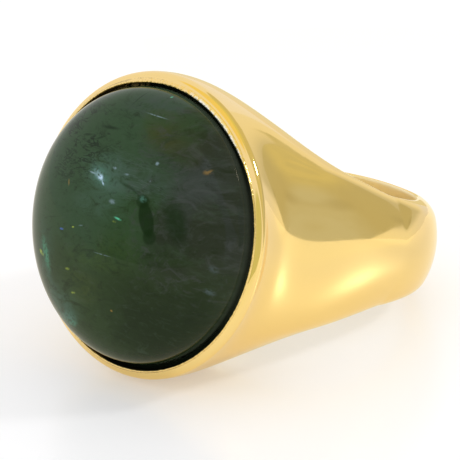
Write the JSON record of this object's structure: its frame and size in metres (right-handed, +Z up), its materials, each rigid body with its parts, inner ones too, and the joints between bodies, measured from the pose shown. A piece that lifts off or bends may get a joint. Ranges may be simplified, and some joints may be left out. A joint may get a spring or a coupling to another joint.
{
  "type": "tourmaline ring",
  "caption": "Finger ring: a smooth band widens through broad shoulders into a round head, whose bezel holds a round, low-domed stone.",
  "frame": {"origin": "middle of the ring's box, on the surface that it lies on", "axes": "+Z up, -Y the way the stone faces, +X across the finger. The ring lies on its side, so the finger hole's axis is in the YZ plane and leans 17.7 degrees from +Z towards +Y, and the stone looks 17.7 degrees above -Y."},
  "size_m": [0.0214, 0.0284, 0.0196],
  "materials": {
    "gold": "polished yellow gold",
    "tourmaline": "polished, dark green, translucent, with small inclusions"
  },
  "bodies": {
    "root": {"ring_body": "gold", "cabochon": "tourmaline"}
  },
  "joints": []
}
